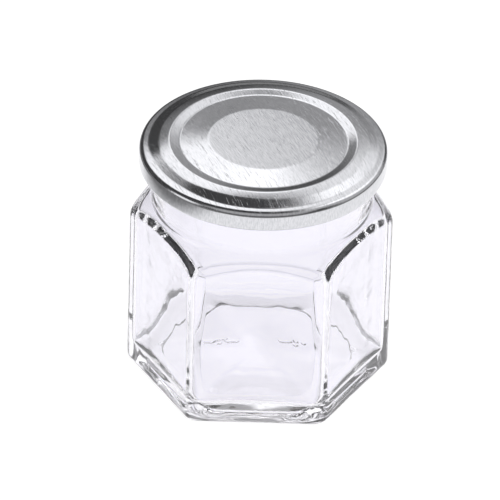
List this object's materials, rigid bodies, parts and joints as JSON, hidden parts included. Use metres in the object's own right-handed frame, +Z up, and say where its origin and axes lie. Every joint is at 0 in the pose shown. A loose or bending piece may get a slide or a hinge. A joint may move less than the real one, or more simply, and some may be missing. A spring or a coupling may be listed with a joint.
{
  "type": "hexagonal glass jar with twist-off lid",
  "caption": "Empty clear glass jar of rounded hexagonal section with a round brushed steel twist-off lid screwed on.",
  "frame": {"origin": "middle of the base, on the surface that the jar stands on", "axes": "+Z up along the jar's axis; one flat face of the jar looks along -Y; two of its corners lie along +X and -X"},
  "size_m": [0.0702, 0.066, 0.0712],
  "materials": {
    "clear_glass": "clear moulded soda-lime glass, polished",
    "brushed_tinplate": "bright pressed tinplate with a fine straight grain, clear lacquered"
  },
  "bodies": {
    "root": {"jar_glass": "clear_glass", "lid": "brushed_tinplate"}
  },
  "joints": []
}
